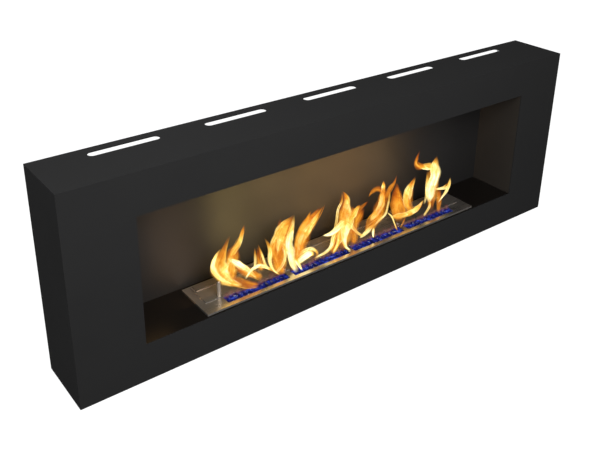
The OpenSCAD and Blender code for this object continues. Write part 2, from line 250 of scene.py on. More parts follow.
def galvanised_sheet(name):
    """Zinc spangle: flat crystals, each with its own grey and its own gloss."""
    s = Shader(name)
    crystal = s.cells(200)["Color"]
    grey = s.add("ShaderNodeSeparateColor")
    s.plug(crystal, grey.inputs["Color"])
    colour = s.mix(grey.outputs[0], (0.24, 0.25, 0.26), (0.34, 0.35, 0.36))
    rough = s.spread(grey.outputs[1], 0.40, 0.52)
    return s.surface(Base_Color=colour, Metallic=0.9, Roughness=rough, Normal=s.bump(s.noise(600), 0.00002))


def zinc_plate(name):
    s = Shader(name)
    cloud = s.noise(160, 3, 0.6)
    colour = s.mix(cloud, (0.42, 0.42, 0.44), (0.62, 0.61, 0.58))
    return s.surface(Base_Color=colour, Metallic=1.0, Roughness=s.spread(cloud, 0.26, 0.42),
                     Normal=s.bump(s.noise(1400), 0.00001))


def ceramic_fibre(name):
    """Soft white fibre blanket, scorched a little in patches."""
    s = Shader(name)
    fibre = s.noise(1, 5, 0.7, s.stretched((260, 900, 500)), 1.5)
    felt = s.noise(1, 4, 0.7, s.stretched((900, 240, 600)), 1.5)
    patch = s.noise(30, 3, 0.6)
    colour = s.mix(fibre, (0.62, 0.59, 0.54), (0.86, 0.84, 0.80))
    colour = s.mix(s.spread(patch, 0.0, 0.4), colour, (0.42, 0.33, 0.24))
    skin = s.bump(felt, 0.0004, 0.7, s.bump(fibre, 0.0005, 0.8))
    return s.surface(Base_Color=colour, Roughness=0.95, Sheen_Weight=0.3, Sheen_Roughness=0.5, Normal=skin)


def flame_light(name):
    """Burning gas. The attribute "burn" holds heat, cover and blueness; fine streaks run up each tongue."""
    s = Shader(name)
    burn = s.add("ShaderNodeAttribute", attribute_name="burn")
    parts = s.add("ShaderNodeSeparateColor")
    s.plug(burn.outputs["Color"], parts.inputs["Color"])
    heat, cover, blue = parts.outputs
    across = s.add("ShaderNodeUVMap", uv_map="tongue").outputs["UV"]
    streak = s.noise(1, 3, 0.5, s.stretched((4.2, 0.9, 1), across), 0.5)
    lick = s.noise(1, 3, 0.55, s.stretched((2.2, 2.6, 1), across), 1.2)
    drift = s.noise(30, 2, 0.5)
    heat = s.math("ADD", heat, s.spread(streak, -0.19, 0.13))
    heat = s.math("ADD", heat, s.spread(lick, -0.15, 0.11))
    heat = s.math("ADD", heat, s.spread(drift, -0.05, 0.05), clamp=True)
    warm = s.ramp(heat, [(0.0, (0.34, 0.05, 0.005)), (0.3, (0.80, 0.20, 0.015)), (0.5, (1.12, 0.42, 0.03)),
                         (0.68, (1.5, 0.84, 0.14)), (0.84, (1.8, 1.36, 0.46)), (1.0, (2.0, 1.8, 0.95))])
    cold = s.ramp(heat, [(0.0, (0.005, 0.007, 0.06)), (0.45, (0.013, 0.018, 0.19)), (0.7, (0.04, 0.08, 0.52)),
                         (1.0, (0.30, 0.36, 0.95))])
    glow = s.add("ShaderNodeEmission")
    s.plug(s.mix(blue, warm, cold), glow.inputs["Color"])
    glow.inputs["Strength"].default_value = 1.0
    clear = s.add("ShaderNodeBsdfTransparent")
    blend = s.add("ShaderNodeMixShader")
    s.plug(s.math("MULTIPLY", cover, s.spread(streak, 0.35, 1.2), clamp=True), blend.inputs["Fac"])
    s.plug(clear.outputs["BSDF"], blend.inputs[1])
    s.plug(glow.outputs["Emission"], blend.inputs[2])
    s.finish(blend.outputs["Shader"])
    return s.material


def stage_floor(name):
    s = Shader(name)
    tone = s.mix(s.noise(2), (0.04, 0.04, 0.04), (0.05, 0.05, 0.05))
    return s.surface(Base_Color=tone, Roughness=0.9, Specular_IOR_Level=0.1,
                     Emission_Color=(1, 1, 1, 1), Emission_Strength=0.98)


CASING_BLACK = powder_coat("casing_black", (0.0058, 0.0058, 0.0059), (0.0070, 0.0070, 0.0070),
                           rough=0.6, gloss=0.002, grain=0.00004)
# The firebox liner is one black paint. The floor's copy is made far darker, a painted shade, and tinted warm
# as painted firelight. The walls' and ceiling's copy is a warmer, lighter black than the casing's.
FIREBOX_BLACK = powder_coat("firebox_black", (0.0083, 0.0070, 0.0058), (0.0108, 0.0091, 0.0075),
                            rough=0.5, gloss=0.07, grain=0.00003)
FIREBOX_FLOOR_PAINTED_SHADE = powder_coat("firebox_floor_painted_shade", (0.0014, 0.0011, 0.0009), (0.0022, 0.0017, 0.0013),
                            rough=0.36, gloss=0.12, grain=0.00003)
BACK_PANEL_BLACK = satin_lacquer("back_panel_black")
STEEL_PLAIN = brushed_steel("stainless_plain", (0.17, 0.165, 0.16), (0.24, 0.235, 0.23), 0.34)
STEEL_POST = brushed_steel("stainless_post", (0.10, 0.097, 0.094), (0.14, 0.135, 0.13), 0.36, 0.45)
STEEL_DULL = brushed_steel("stainless_dull", (0.32, 0.29, 0.26), (0.42, 0.38, 0.34), 0.38, 0.97)
STEEL_POLISHED = brushed_steel("stainless_polished", (0.66, 0.62, 0.57), (0.80, 0.76, 0.70), 0.3, 0.97)
GALVANISED = galvanised_sheet("galvanised")
ZINC = zinc_plate("zinc_plated")
WOOL = ceramic_fibre("ceramic_wool")
FLAME = flame_light("flame")

LOOKS = {
    CASING_BLACK: ["outer_casing"],
    FIREBOX_FLOOR_PAINTED_SHADE: ["firebox_floor"],
    FIREBOX_BLACK: ["firebox_ceiling", "firebox_left_wall", "firebox_right_wall"],
    BACK_PANEL_BLACK: ["firebox_back_panel"],
    GALVANISED: ["hanger_left", "hanger_right"],
    ZINC: ["weld_studs", "stud_nuts", "liner_rivets", "back_panel_screws", "hanger_rivets"],
    STEEL_PLAIN: ["spill_tray", "burner_tank", "tank_baffle_left", "tank_baffle_middle", "tank_baffle_right",
                  "wool_mesh", "guide_screw_left", "guide_screw_right", "guide_nuts"],
    STEEL_DULL: ["shutter_bar"],
    STEEL_POLISHED: ["burner_plate", "shutter"],
    STEEL_POST: ["shutter_handle"],
    WOOL: ["wool_pad_1", "wool_pad_2", "wool_pad_3", "wool_pad_4"],
}


def dress_cad():
    """Gives each CAD node its material."""
    for material, names in LOOKS.items():
        for name in names:
            mesh = NODES[name].data
            mesh.materials.clear()
            mesh.materials.append(material)


# ---------------------------------------------------------------- flames
LEAN = 0.3                         # how far a flame leans back for each step up
SIDES = 14

# what each kind of strand looks like: heat at its middle and at its rim, cover, softness of its rim,
# depth by width, and how many bright filaments run up inside it
KINDS = {
    "core": (0.98, 0.80, 0.93, 0.35, 0.35, 1),
    "body": (0.66, 0.92, 0.84, 0.25, 0.25, 2),
    "veil": (0.45, 0.50, 0.62, 0.80, 0.20, 1),
    "thread": (0.88, 0.70, 0.85, 0.6, 0.8, 0),
    "wisp": (0.50, 0.42, 0.55, 0.8, 0.6, 0),
    "filament": (0.70, 0.55, 0.36, 0.9, 0.8, 0),
    "haze": (0.46, 0.34, 0.22, 0.9, 0.3, 0),
    "blue": (0.62, 0.40, 0.50, 0.8, 0.7, 0),
}

# each flame is a bundle of strands: kind, then points in mm, each of which is
# (along X from the burner's middle, above the plate, half width)
FLAMES = {
    "flame_1": [
        ("veil", [(-226, 2, 7), (-250, 12, 11), (-276, 28, 13), (-290, 44, 8)]),
        ("body", [(-262, 14, 3), (-285, 28, 10), (-300, 50, 17), (-300, 70, 18), (-286, 88, 9),
                  (-267, 109, 2)]),
        ("core", [(-286, 26, 2), (-306, 46, 5), (-314, 66, 6), (-305, 82, 4), (-290, 92, 2)]),
        ("body", [(-284, 60, 4), (-268, 80, 8), (-249, 96, 7), (-238, 108, 4), (-231, 118, 1)]),
        ("veil", [(-280, 30, 12), (-278, 52, 19), (-266, 74, 16), (-246, 96, 4)]),
        ("veil", [(-214, 10, 7), (-232, 26, 11), (-254, 40, 10), (-270, 56, 5)]),
        ("core", [(-280, 72, 2), (-267, 60, 6), (-251, 44, 7), (-236, 28, 5), (-224, 12, 3)]),
        ("core", [(-252, 24, 2), (-236, 36, 4), (-216, 37, 5), (-198, 26, 3), (-182, 12, 2)]),
    ],
    "flame_2": [
        ("thread", [(-228, 32, 2), (-223, 50, 3), (-220, 72, 1)]),
        ("thread", [(-196, 22, 2), (-205, 36, 3), (-208, 54, 3), (-211, 76, 1)]),
        ("veil", [(-212, 26, 8), (-214, 48, 9), (-215, 74, 4)]),
    ],
    "flame_3": [
        ("veil", [(-176, 6, 14), (-170, 40, 24), (-152, 76, 24), (-124, 104, 6)]),
        ("body", [(-172, 44, 5), (-160, 66, 13), (-146, 84, 13), (-126, 102, 3)]),
        ("veil", [(-136, 14, 14), (-116, 48, 22), (-88, 80, 16), (-50, 103, 3)]),
        ("veil", [(-168, 6, 8), (-172, 28, 13), (-172, 50, 14), (-158, 70, 9)]),
        ("veil", [(-166, 74, 8), (-159, 92, 7), (-152, 108, 2)]),
        ("thread", [(-176, 6, 2), (-189, 22, 3), (-192, 40, 4), (-188, 62, 4), (-194, 83, 1)]),
        ("body", [(-189, 40, 3), (-181, 60, 9), (-165, 78, 15), (-144, 92, 13), (-121, 106, 2)]),
        ("thread", [(-184, 10, 2), (-166, 22, 3), (-157, 40, 4), (-156, 62, 4), (-148, 80, 2)]),
        ("core", [(-137, 0, 5), (-141, 18, 9), (-141, 36, 11), (-143, 54, 9), (-136, 72, 9), (-127, 90, 7),
                  (-120, 106, 1)]),
        ("core", [(-125, 0, 2), (-131, 14, 4), (-137, 28, 5)]),
        ("veil", [(-130, 26, 9), (-118, 50, 15), (-97, 75, 17), (-72, 92, 9), (-47, 102, 2)]),
        ("body", [(-134, 30, 5), (-121, 54, 10), (-107, 74, 9), (-90, 90, 5), (-78, 101, 1)]),
        ("body", [(-128, 24, 4), (-114, 50, 10), (-92, 72, 10), (-66, 90, 5), (-46, 102, 1)]),
        ("wisp", [(-84, 62, 1), (-66, 80, 1.4), (-52, 94, 1.2), (-41, 106, 0.6)]),
        ("core", [(-134, 14, 6), (-116, 19, 9), (-98, 21, 8), (-88, 16, 4)]),
        ("thread", [(-130, 26, 3), (-114, 31, 4), (-99, 32, 4), (-87, 27, 4), (-81, 17, 3), (-92, 6, 1)]),
    ],
    "flame_4": [
        ("veil", [(-16, 6, 14), (-4, 42, 26), (5, 78, 21), (8, 114, 5)]),
        ("veil", [(14, 26, 12), (32, 54, 15), (52, 74, 7)]),
        ("veil", [(-46, 8, 8), (-28, 28, 14), (-8, 46, 14)]),
        ("veil", [(14, 8, 8), (16, 26, 14), (12, 44, 10)]),
        ("core", [(-88, 9, 2), (-62, 13, 4), (-44, 22, 6), (-34, 36, 8), (-16, 50, 11)]),
        ("body", [(-44, 6, 3), (-28, 22, 6), (-18, 38, 7), (-4, 54, 9)]),
        ("core", [(0, -1, 2), (-11, 12, 4), (-11, 28, 8), (-5, 46, 15), (4, 62, 11), (9, 80, 3)]),
        ("body", [(-30, 20, 4), (-14, 36, 14), (6, 54, 16), (20, 70, 8), (28, 82, 1)]),
        ("core", [(-60, 46, 1), (-42, 45, 6), (-22, 50, 9), (-4, 55, 9), (8, 55, 4)]),
        ("body", [(-4, 52, 16), (4, 68, 18), (9, 84, 14), (13, 98, 9), (9, 110, 5), (4, 119, 1)]),
        ("thread", [(-34, 44, 3), (-20, 64, 3), (-10, 84, 3), (2, 99, 2), (5, 117, 1)]),
        ("body", [(10, 58, 8), (24, 68, 10), (36, 75, 6), (46, 80, 1)]),
        ("veil", [(28, 60, 6), (44, 70, 8), (58, 76, 5), (70, 80, 1)]),
        ("thread", [(10, 54, 6), (18, 38, 4), (29, 25, 3), (38, 18, 3), (46, 18, 2)]),
        ("core", [(32, 14, 2), (48, 19, 5), (62, 24, 6), (80, 30, 1)]),
        ("core", [(67, 4, 1), (69, 14, 4), (74, 25, 3)]),
    ],
    "flame_5": [
        ("veil", [(60, 20, 12), (90, 48, 22), (110, 78, 17), (118, 106, 4)]),
        ("veil", [(50, 22, 6), (66, 36, 12), (90, 48, 13), (106, 66, 9)]),
        ("wisp", [(46, 20, 1.2), (52, 34, 1.8), (62, 46, 2), (82, 54, 2), (99, 62, 2.4), (112, 78, 2)]),
        ("thread", [(72, 25, 1.6), (92, 34, 2), (110, 42, 2.4), (119, 58, 2.4), (127, 78, 2), (130, 96, 1)]),
        ("body", [(66, 40, 5), (84, 50, 10), (100, 62, 12), (109, 78, 9), (114, 94, 5)]),
        ("core", [(84, 54, 3), (98, 64, 6), (107, 78, 7), (111, 94, 3)]),
        ("veil", [(70, 89, 1), (82, 98, 6), (97, 100, 7), (108, 92, 7), (112, 80, 5)]),
        ("body", [(112, 82, 8), (115, 97, 7), (117, 111, 1)]),
        ("veil", [(118, 72, 9), (130, 89, 9), (145, 99, 6), (160, 111, 1)]),
        ("thread", [(113, 45, 1), (124, 33, 2), (129, 20, 1.7), (132, 8, 1.7), (134, -1, 2)]),
    ],
    "flame_6": [
        ("veil", [(146, 16, 14), (146, 48, 22), (149, 78, 13), (151, 98, 3)]),
        ("veil", [(184, 20, 12), (178, 50, 17), (190, 76, 9), (204, 92, 2)]),
        ("veil", [(134, 26, 8), (139, 48, 13), (141, 68, 13), (146, 90, 5)]),
        ("veil", [(162, 22, 9), (160, 44, 10), (156, 64, 8), (150, 84, 4)]),
        ("wisp", [(152, 26, 2), (146, 46, 2.5), (150, 66, 2.5), (144, 86, 1)]),
        ("body", [(174, 34, 6), (173, 54, 10), (181, 70, 11), (194, 83, 6), (210, 96, 1)]),
        ("core", [(181, 52, 3), (186, 66, 6), (195, 80, 4), (208, 94, 1)]),
        ("body", [(124, 32, 3), (146, 27, 8), (170, 25, 8), (192, 28, 8), (208, 32, 6), (223, 40, 1)]),
        ("core", [(182, 23, 4), (198, 27, 7), (211, 33, 5), (224, 41, 1)]),
        ("wisp", [(144, 2, 1.6), (156, 12, 2), (166, 21, 1.6)]),
    ],
    "flame_7": [
        ("veil", [(240, 12, 10), (254, 52, 20), (270, 90, 19), (273, 116, 6)]),
        ("veil", [(262, 4, 7), (270, 28, 10), (275, 54, 7)]),
        ("thread", [(219, 5, 2), (231, 15, 2.6), (240, 26, 2.8), (240, 42, 2)]),
        ("core", [(238, 32, 7), (246, 48, 14), (257, 68, 18), (266, 88, 18), (270, 104, 15), (275, 114, 9),
                  (280, 124, 1)]),
        ("thread", [(222, 32, 2), (234, 50, 3), (244, 74, 4), (250, 98, 4)]),
        ("body", [(270, 102, 8), (252, 107, 9), (236, 111, 8), (224, 118, 6)]),
        ("veil", [(240, 108, 6), (225, 113, 9), (216, 123, 8), (221, 135, 5), (233, 148, 1)]),
    ],
    "flame_8": [
        ("core", [(267, 21, 1), (282, 32, 3), (298, 42, 6), (309, 53, 6), (314, 67, 1)]),
        ("thread", [(262, 54, 2), (279, 51, 3), (296, 50, 5), (306, 56, 2)]),
    ],
}


def smooth(points, steps):
    """A Catmull-Rom curve through the points, with so many steps between each pair."""
    ends = [points[0] * 2 - points[1], *points, points[-1] * 2 - points[-2]]
    out = []
    for a, b, c, d in zip(ends, ends[1:], ends[2:], ends[3:]):
        for i in range(steps):
            t = i / steps
            out.append(0.5 * (2 * b + (c - a) * t + (2 * a - 5 * b + 4 * c - d) * t * t
                              + (3 * b - a - 3 * c + d) * t * t * t))
    return [*out, points[-1]]


def ease(value, low, high):
    t = min(max((value - low) / (high - low), 0.0), 1.0)
    return t * t * (3 - 2 * t)


class Fire:
    """Gathers strands of flame into one mesh, with how each point burns."""

    def __init__(self):
        self.shape = bmesh.new()
        self.burn = self.shape.verts.layers.float_vector.new("burn_point")
        self.uv = self.shape.loops.layers.uv.new("tongue")

    def strand(self, kind, points, middle_y, seed, blue=0.0, lean=LEAN):
        """A flat tongue that follows the points, tapers to its ends and waves a little."""
        mid_heat, rim_heat, cover, soft, flat, filaments = KINDS[kind]
        path = smooth([Vector(p) for p in points], 9)
        last = len(path) - 1
        bright_side = math.copysign(1, math.sin(seed * 5.1))
        rings, length = [], 0.0
        for i, (x, z, half) in enumerate(path):
            share = i / last
            before, after = path[max(i - 1, 0)], path[min(i + 1, last)]
            along = Vector((after.x - before.x, after.y - before.y)).normalized()
            length += (path[i] - before).length
            wave = noise.noise(Vector((x * 0.06, z * 0.06, seed)))
            half = max(half * (1 + 0.28 * wave), 0.12)
            drift = 5.0 * noise.noise(Vector((seed * 3.1, length * 0.025, 0.5)))
            rim_wave = [1 + 0.10 * noise.noise(Vector((length * 0.12, seed, k))) for k in (3.0, 8.0)]
            ring = []
            for k in range(SIDES):
                turn = math.tau * k / SIDES
                side, deep = math.cos(turn), math.sin(turn)
                reach = half * side * rim_wave[side > 0]
                px = x - along.y * reach
                pz = z + along.x * reach
                py = drift + deep * min(half * flat, 5) + lean * z
                vertex = self.shape.verts.new((px * MM, middle_y + py * MM, PLATE_TOP + pz * MM))
                crisp = side * bright_side > 0
                rim = ease(1 - abs(side), 0.0, soft if crisp else max(soft, 0.75))
                ends = ease(share, -0.02, 0.14) * (1 - ease(share, 0.70, 1.02))
                heat = mid_heat + (rim_heat - mid_heat) * side * side * (1 if crisp else -0.25)
                heat -= 0.34 * ease(share, 0.5, 1.0)
                vertex[self.burn] = (heat, cover * rim * ends, blue)
                ring.append((vertex, (abs(2 * k / SIDES - 1) + seed * 1.7, length * 0.02)))
            rings.append(ring)
        self.skin(rings)
        for j in range(filaments):
            inside = filament_path(path, seed + j * 2.3)
            self.strand("filament", inside, middle_y, seed + j * 0.9 + 0.4, blue, lean)

    def skin(self, rings):
        for low, high in zip(rings, rings[1:]):
            for k in range(SIDES):
                self.face([low[k], low[(k + 1) % SIDES], high[(k + 1) % SIDES], high[k]])
        self.face(rings[0])
        self.face(rings[-1])

    def face(self, points):
        face = self.shape.faces.new([v for v, _ in points])
        face.smooth = True
        for loop, (_, spot) in zip(face.loops, points):
            loop[self.uv].uv = spot

    def bed(self, low, high, height, across, deep):
        """A lumpy sheet of blue gas between two corners, with so many steps each way."""
        grid = []
        for i in range(across + 1):
            row = []
            for k in range(deep + 1):
                x = low.x + (high.x - low.x) * i / across
                y = low.y + (high.y - low.y) * k / deep
                lump = noise.noise(Vector((x * 55, y * 160, 1.0)))
                fine = noise.noise(Vector((x * 190, y * 260, 5.0)))
                z = height + (1.1 * lump + 0.2 * fine) * MM
                vertex = self.shape.verts.new((x, y, z))
                clump = ease(lump + 0.2 * fine, -0.2, 0.6)
                vertex[self.burn] = (0.22 + 0.46 * clump, 0.97, 1.0)
                row.append((vertex, (x * 30, y * 30)))
            grid.append(row)
        for one, two in zip(grid, grid[1:]):
            for k in range(deep):
                self.face([one[k], two[k], two[k + 1], one[k + 1]])

    def finish(self, name):
        bmesh.ops.recalc_face_normals(self.shape, faces=self.shape.faces)
        mesh = bpy.data.meshes.new(name)
        burns = [Vector(v[self.burn]) for v in self.shape.verts]
        self.shape.to_mesh(mesh)
        self.shape.free()
        mesh.attributes.remove(mesh.attributes["burn_point"])
        layer = mesh.color_attributes.new("burn", "FLOAT_COLOR", "POINT")
        for item, value in zip(layer.data, burns):
            item.color = (*value, 1)
        mesh.materials.append(FLAME)
        flame = bpy.data.objects.new(name, mesh)
        SCENE.collection.objects.link(flame)
        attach(flame, "burner")
        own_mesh(flame)
        return flame


def filament_path(path, seed):
    """Points of a thin bright line that wanders from side to side up inside a strand."""
    last = len(path) - 1
    start = 0.05 + 0.3 * abs(noise.noise(Vector((seed, 2.0, 0))))
    stop = 0.98 - 0.3 * abs(noise.noise(Vector((seed, 5.0, 0))))
    points = []
    for step in range(6):
        share = start + (stop - start) * step / 5
        i = min(max(round(share * last), 1), last - 1)
        x, z, half = path[i]
        along = Vector((path[i + 1].x - path[i - 1].x, path[i + 1].y - path[i - 1].y)).normalized()
        side = 0.6 * half * math.sin(seed * 4.7 + 1.1 * share * math.pi)
        thin = (0.35 + 0.05 * half) * (1 - abs(2 * share - 1) * 0.5)
        points.append((x - along.y * side, z + along.x * side, thin))
    return points


def make_flames():
    for order, (name, strands) in enumerate(FLAMES.items()):
        fire = Fire()
        for i, (kind, points) in enumerate(strands):
            fire.strand(kind, points, PORT_MIDDLE, seed=order * 7.3 + i * 1.9)
        fire.finish(name)


def make_port_glow():
    """Blue burning gas in each port: a lumpy bed just under the plate's face, with low wisps over it."""
    edge = 0.4 * MM
    for port, start in enumerate(port_starts()):
        fire = Fire()
        fire.bed(Vector((start + edge, PORT_FRONT + edge, 0)),
                 Vector((start + PORT_LENGTH - edge, PORT_BACK - edge, 0)), PLATE_TOP - 1.8 * MM, 90, 14)
        count = 11
        for i in range(count):
            x = (start + (i + 0.5) * PORT_LENGTH / count) / MM
            pick = noise.noise(Vector((x * 0.11, 4.7, port * 2.3)))
            tip = x + 6 * noise.noise(Vector((x * 0.07, 1.7, 9.0)))
            fire.strand("haze", [(x, -2, 6), (x, 4, 9), (tip, 11 + 8 * pick, 3)], PORT_BACK - 4 * MM,
                        seed=port * 31 + i * 0.77, blue=0.55, lean=0.1)
            fire.strand("blue", [(x, -2, 4), (x + 2, 1, 3.5), (tip, 4.5 + 6 * pick, 1)],
                        PORT_MIDDLE + 6 * pick * MM, seed=port * 17 + i * 1.37, blue=1.0, lean=0.1)
        fire.finish(f"port_glow_{port + 1}")


# ---------------------------------------------------------------- ceramic wool in the tank
def make_wool(index):
    """A soft blanket block with rounded, uneven faces, inside its CAD solid."""
    low, high = corners(f"wool_pad_{index}")
    middle, size = (low + high) / 2, high - low
    shape = bmesh.new()
    bmesh.ops.create_cube(shape, size=1.0)
    bmesh.ops.subdivide_edges(shape, edges=shape.edges, cuts=22, use_grid_fill=True)
    inset = 1.6 * MM
    for vertex in shape.verts:
        unit = vertex.co * 2
        round_off = Vector(tuple(math.copysign(1 - (1 - abs(c)) ** 1.6, c) for c in unit))
        place = Vector(tuple(round_off[k] * (size[k] / 2 - inset) for k in range(3)))
        corner = sorted(abs(c) for c in unit)[1]
        place *= 1 - 0.035 * ease(corner, 0.75, 1.0)
        lump = noise.noise(place * 90 + Vector((index * 5, 0, 0))) + 0.5 * noise.noise(place * 260)
        vertex.co = middle + place + unit.normalized() * lump * 1.0 * MM
    mesh = bpy.data.meshes.new(f"wool_blanket_{index}")
    bmesh.ops.recalc_face_normals(shape, faces=shape.faces)
    shape.to_mesh(mesh)
    shape.free()
    for face in mesh.polygons:
        face.use_smooth = True
    mesh.materials.append(WOOL)
    pad = bpy.data.objects.new(mesh.name, mesh)
    SCENE.collection.objects.link(pad)
    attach(pad, "burner")
    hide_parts(f"wool_pad_{index}")


# ---------------------------------------------------------------- fasteners and seams
THREAD_R = 2 * MM                  # screws, studs and rivets
THREAD_PITCH = 0.7 * MM
HEAD_H = 2.4 * MM                  # a panel screw's head
TURN_SIDES = 48


def solids(node):
    """The lowest and highest corners of each separate solid of a CAD node."""
    shape = bmesh.new()
    shape.from_mesh(NODES[node].data)
    bmesh.ops.remove_doubles(shape, verts=shape.verts, dist=0.001 * MM)
    left, found = set(shape.verts), []
    while left:
        open_end, group = [left.pop()], []
        while open_end:
            vertex = open_end.pop()
            group.append(vertex.co.copy())
            for edge in vertex.link_edges:
                other = edge.other_vert(vertex)
                if other in left:
                    left.discard(other)
                    open_end.append(other)
        found.append((Vector(map(min, zip(*group))), Vector(map(max, zip(*group)))))
    shape.free()
    return sorted(found, key=lambda pair: tuple(round(c, 5) for c in pair[0]))


def stand(place, axis):
    """A matrix that puts local Z along the axis, at the place."""
    return Matrix.Translation(place) @ Vector(axis).to_track_quat("Z", "Y").to_matrix().to_4x4()


def join_rings(shape, one, two):
    """A band of smooth faces between two rings with as many points."""
    count = len(one)
    for k in range(count):
        after = (k + 1) % count
        shape.faces.new((one[k], one[after], two[after], two[k])).smooth = True


def spin(shape, where, profile, across=None, press=None, closed=False):
    """Turns (radius, height) points about local Z.

    Across gives hexagon flats, press(x, y) sinks a recess, and closed joins the last ring to the first.
    """
    rings = []
    for radius, height in profile:
        ring = []
        for k in range(TURN_SIDES):
            turn = math.tau * k / TURN_SIDES
            reach = radius
            if across:
                sixth = (turn + math.pi / 6) % (math.pi / 3) - math.pi / 6
                reach = min(radius, across / 2 / math.cos(sixth))
            x, y = reach * math.cos(turn), reach * math.sin(turn)
            sink = press(x, y) if press and height > 0 else 0
            ring.append(shape.verts.new(where @ Vector((x, y, height - sink))))
        rings.append(ring)
    pairs = list(zip(rings, rings[1:])) + ([(rings[-1], rings[0])] if closed else [])
    for one, two in pairs:
        join_rings(shape, one, two)
    if not closed:
        shape.faces.new(rings[0])
        shape.faces.new(rings[-1])


def dome(radius, height, base, rings=14, hole=0.0):
    """The outside of a low head, from its middle to its rim, which sits on base."""
    edge = 0.3 * height
    points = []
    for i in range(rings + 1):
        r = max(radius * i / rings, hole + 0.02 * MM)
        points.append((r, base + edge + (height - edge) * math.sqrt(max(1 - (r / radius) ** 2.6, 0))))
    return [*points, (radius, base + 0.1 * edge), (radius - 0.15 * MM, base)]


def thread(top, bottom, radius=THREAD_R, pitch=THREAD_PITCH):
    """Ridges of a thread down a shank, with a pointed end."""
    depth = 0.3 * pitch
    count = max(int((top - bottom - 0.5 * MM) / pitch), 1)
    points = [(radius - depth, top)]
    for i in range(count):
        z = top - i * pitch
        points += [(radius, z - 0.35 * pitch), (radius, z - 0.5 * pitch), (radius - depth, z - 0.9 * pitch)]
    return [*points, (radius - depth, bottom + 0.35 * MM), (radius * 0.6, bottom)]


def cross_recess(size, depth):
    def press(x, y):
        arm = min(abs(x), abs(y))
        reach = math.hypot(x, y)
        return depth * (1 - ease(arm, 0.14 * size, 0.3 * size)) * (1 - ease(reach, 0.55 * size, size))
    return press


def hex_socket(across, depth):
    def press(x, y):
        turn = (math.atan2(y, x) + math.pi / 6) % (math.pi / 3) - math.pi / 6
        flat = math.hypot(x, y) * math.cos(turn)
        return depth * (1 - ease(flat, 0.42 * across, 0.56 * across))
    return press


def fitting(name, node, body, material, build):
    """One piece for a node's fasteners: build(shape, low, high) makes each of them in its solid's box."""
    shape = bmesh.new()
    for low, high in solids(node):
        build(shape, low, high)
    bmesh.ops.recalc_face_normals(shape, faces=shape.faces)
    piece = add_piece(name, shape, body, material)
    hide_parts(node)


def add_piece(name, shape, body, material):
    mesh = bpy.data.meshes.new(name)
    shape.to_mesh(mesh)
    shape.free()
    mesh.materials.append(material)
    piece = bpy.data.objects.new(name, mesh)
    SCENE.collection.objects.link(piece)
    split = piece.modifiers.new("edges", "EDGE_SPLIT")
    split.split_angle = math.radians(35)
    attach(piece, body)
    return piece


def panel_screw(shape, low, high):
    head_r = (high.x - low.x) / 2
    middle = (low + high) / 2
    where = stand((middle.x, high.y - HEAD_H, middle.z), (0, 1, 0))
    shank = high.y - HEAD_H - low.y
    spin(shape, where, dome(head_r, HEAD_H, 0) + thread(-0.2 * MM, -shank),
         press=cross_recess(0.62 * head_r, 1.3 * MM))


def stud(shape, low, high):
    middle = (low + high) / 2
    length = high.y - low.y
    spin(shape, stand((middle.x, low.y, middle.z), (0, 1, 0)), thread(length, 0)[::-1])


def nut(axis):
    def build(shape, low, high):
        middle = (low + high) / 2
        tall = (high - low).dot(axis)
        across = 1.75 * 2 * THREAD_R
        start = middle - Vector(axis) * tall / 2
        inner, outer = THREAD_R + 0.05 * MM, across / 2 / math.cos(math.pi / 6)
        profile = [(inner, 0.3 * MM), (inner + 0.3 * MM, 0), (0.95 * across / 2, 0), (outer, 0.55 * MM),
                   (outer, tall - 0.55 * MM), (0.95 * across / 2, tall), (inner + 0.3 * MM, tall),
                   (inner, tall - 0.3 * MM)]
        spin(shape, stand(start, axis), profile, across=across, closed=True)
    return build


def blind_rivet(shape, low, high):
    """Domed head outside with its broken stem, set bulb inside, along X."""
    side = math.copysign(1, low.x + high.x)
    middle = (low + high) / 2
    length = high.x - low.x
    head_r = (high.z - low.z) / 2
    head = HEAD_H / 2
    where = stand((middle.x + side * (length / 2 - head), middle.y, middle.z), (side, 0, 0))
    shank = length - 2 * head
    stem = [(0.5 * MM, head - 0.7 * MM), (0.95 * MM, head - 0.7 * MM)]
    bulb = [(THREAD_R, -0.1 * MM), (THREAD_R, -shank), (0.72 * head_r, -shank - 0.1 * MM),
            (0.75 * head_r, -shank - 0.5 * head), (0.5 * head_r, -shank - 0.9 * head),
            (0.2 * head_r, -shank - head)]
    spin(shape, where, stem + dome(head_r, head, 0, hole=0.95 * MM) + bulb)


def hanger_rivet(shape, low, high):
    """Set flush in the lip, with its head on the hanger's front face."""
    middle = (low + high) / 2
    head_r = (high.x - low.x) / 2
    head = HEAD_H / 2
    where = stand((middle.x, low.y + head, middle.z), (0, -1, 0))
    depth = high.y - low.y - head
    spin(shape, where, dome(head_r, head, 0) + [(THREAD_R, -0.1 * MM), (THREAD_R, -depth + 0.1 * MM),
                                                (THREAD_R - 0.2 * MM, -depth), (0.7 * MM, -depth),
                                                (0.6 * MM, -depth + 0.3 * MM)])


def guide_screw(shape, low, high):
    """Shoulder screw with a hexagon socket in its low head, along Z."""
    middle = (low + high) / 2
    head_r, head = (high.x - low.x) / 2, 2 * MM
    shoulder_r, shoulder = head_r / 2, high.z - head - PLATE_TOP
    where = stand((middle.x, middle.y, high.z - head), (0, 0, 1))
    shank = high.z - head - low.z
    spin(shape, where, dome(head_r, head, 0) + [(shoulder_r, -0.1 * MM), (shoulder_r, -shoulder)]
         + thread(-shoulder - 0.1 * MM, -shank), press=hex_socket(3 * MM, 1.2 * MM))


